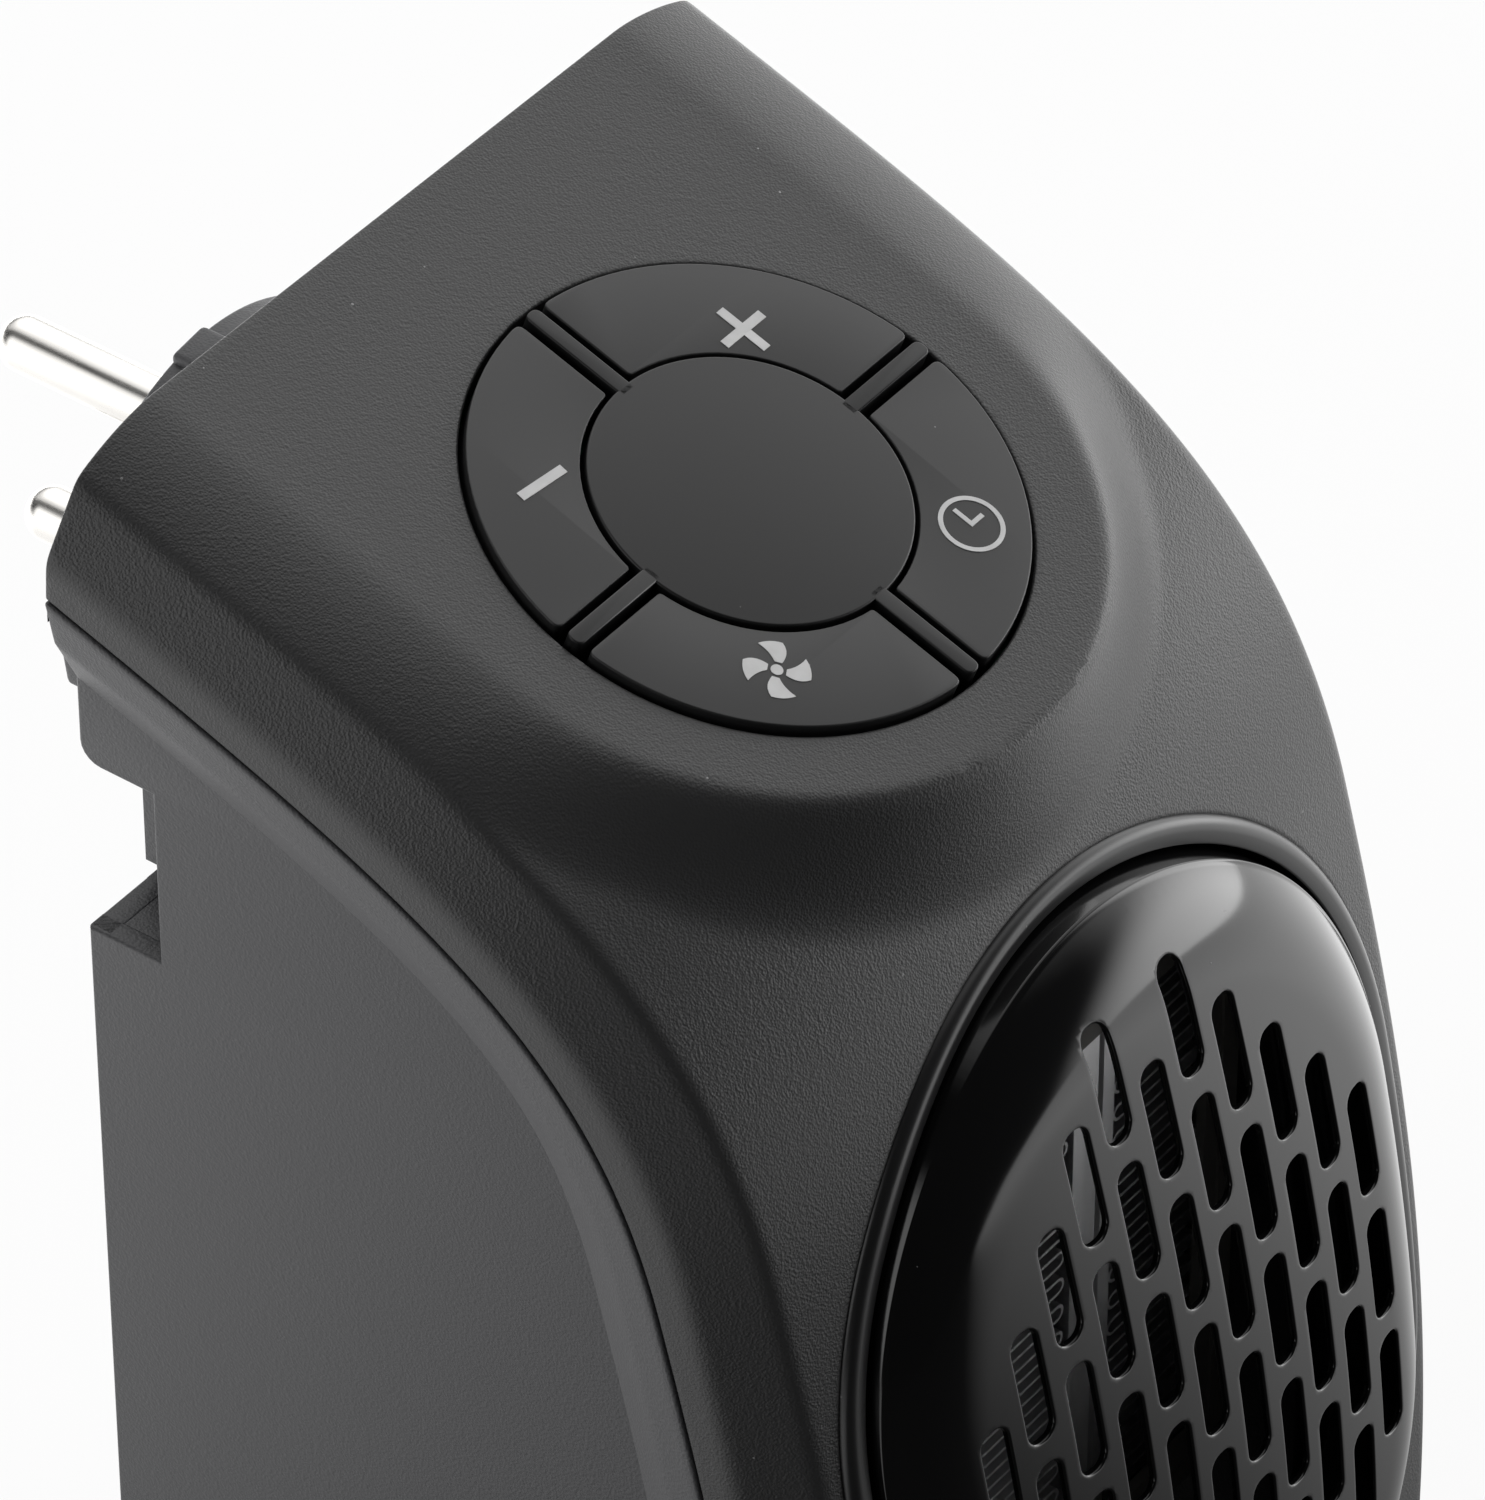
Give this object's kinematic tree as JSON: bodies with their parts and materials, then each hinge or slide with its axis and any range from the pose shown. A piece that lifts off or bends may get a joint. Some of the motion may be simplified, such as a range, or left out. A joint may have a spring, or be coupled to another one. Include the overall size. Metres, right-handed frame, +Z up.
{
  "type": "plug-in fan heater",
  "caption": "Small wall-socket fan heater with a sloping key panel, an oval slotted grille and a turning two-pin plug.",
  "frame": {"origin": "middle of the bounding box, on the flat base", "axes": "-Y is where the grille blows, +Y is the way the plug pins point, +X is the right side of someone facing the grille, +Z is up"},
  "size_m": [0.0848, 0.123, 0.158],
  "materials": {
    "shell": "fine-textured matt charcoal",
    "housing": "matt dark grey",
    "hub": "smooth semi-matt black",
    "keys": "satin charcoal",
    "gloss": "polished black",
    "satin": "satin black",
    "nickel": "bright nickel plate",
    "steel": "zinc-plated steel",
    "aluminium": "bare rolled aluminium",
    "copper": "bare copper",
    "circuit_board": "green solder mask",
    "heat_resin": "heat-proof cream resin",
    "blue_sleeve": "shrink sleeve",
    "red_lead": "silicone sleeve",
    "white_lead": "pale sleeve",
    "fuse_glass": "clear glass",
    "dark_plastic": "black nylon"
  },
  "bodies": {
    "housing": {"air_duct": "dark_plastic", "bezel_ring": "satin", "board_screw_1": "steel", "board_screw_2": "steel", "board_screw_3": "steel", "board_screw_4": "steel", "capacitor": "blue_sleeve", "carrier_screw_1": "steel", "carrier_screw_2": "steel", "carrier_screw_3": "steel", "carrier_screw_4": "steel", "contact_brush_live": "copper", "contact_brush_neutral": "copper", "control_board": "circuit_board", "display_module": "dark_plastic", "fan_motor": "steel", "fin_pack_centre": "aluminium", "fin_pack_left": "aluminium", "fin_pack_right": "aluminium", "front_shell": "shell", "fuse": "fuse_glass", "grille": "gloss", "heater_frame": "heat_resin", "heater_lead_live": "red_lead", "heater_lead_neutral": "red_lead", "housing_screw_lower_left": "steel", "housing_screw_lower_right": "steel", "housing_screw_upper_left": "steel", "housing_screw_upper_right": "steel", "keypad_spider": "hub", "motor_bracket": "dark_plastic", "motor_lead": "white_lead", "plug_carrier": "housing", "power_board": "circuit_board", "ptc_bar_left": "aluminium", "ptc_bar_right": "aluminium", "rear_housing": "housing", "relay": "dark_plastic", "ribbon_cable": "white_lead", "rocker_frame": "dark_plastic", "tact_switch_minus": "dark_plastic", "tact_switch_plus": "dark_plastic", "tact_switch_speed": "dark_plastic", "tact_switch_timer": "dark_plastic", "thermal_cutout": "steel"},
    "plug": {"plug_head": "housing", "plug_pin_live": "nickel", "plug_pin_neutral": "nickel", "swivel_retainer": "housing", "slip_ring_live": "copper", "slip_ring_neutral": "copper"},
    "fan": {"fan_impeller": "dark_plastic", "motor_shaft": "steel"},
    "rocker": {"power_rocker": "keys"},
    "button_plus_body": {"button_plus": "keys"},
    "button_minus_body": {"button_minus": "keys"},
    "button_speed_body": {"button_speed": "keys"},
    "button_timer_body": {"button_timer": "keys"}
  },
  "joints": [
    {"name": "plug_swivel", "type": "hinge", "parent": "housing", "child": "plug", "pos_m": [0, 0.0222, 0.1187], "axis": [0, 1, 0], "range_deg": [-83.6, 96.4]},
    {"name": "fan_spin", "type": "hinge", "parent": "housing", "child": "fan", "pos_m": [0, -0.0203, 0.07295], "axis": [0, 1, 0], "continuous": true},
    {"name": "rocker_tilt", "type": "hinge", "parent": "housing", "child": "rocker", "pos_m": [0.0393, 0.0032, 0.086], "axis": [0, -1, 0], "range_deg": [0, 16]},
    {"name": "button_plus_press", "type": "slide", "parent": "housing", "child": "button_plus_body", "axis": [0, 0.3279, -0.9447], "range_m": [0, 0.0006], "stiffness_N_per_m": 1500},
    {"name": "button_minus_press", "type": "slide", "parent": "housing", "child": "button_minus_body", "axis": [0, 0.3279, -0.9447], "range_m": [0, 0.0006], "stiffness_N_per_m": 1500},
    {"name": "button_speed_press", "type": "slide", "parent": "housing", "child": "button_speed_body", "axis": [0, 0.3279, -0.9447], "range_m": [0, 0.0006], "stiffness_N_per_m": 1500},
    {"name": "button_timer_press", "type": "slide", "parent": "housing", "child": "button_timer_body", "axis": [0, 0.3279, -0.9447], "range_m": [0, 0.0006], "stiffness_N_per_m": 1500}
  ]
}
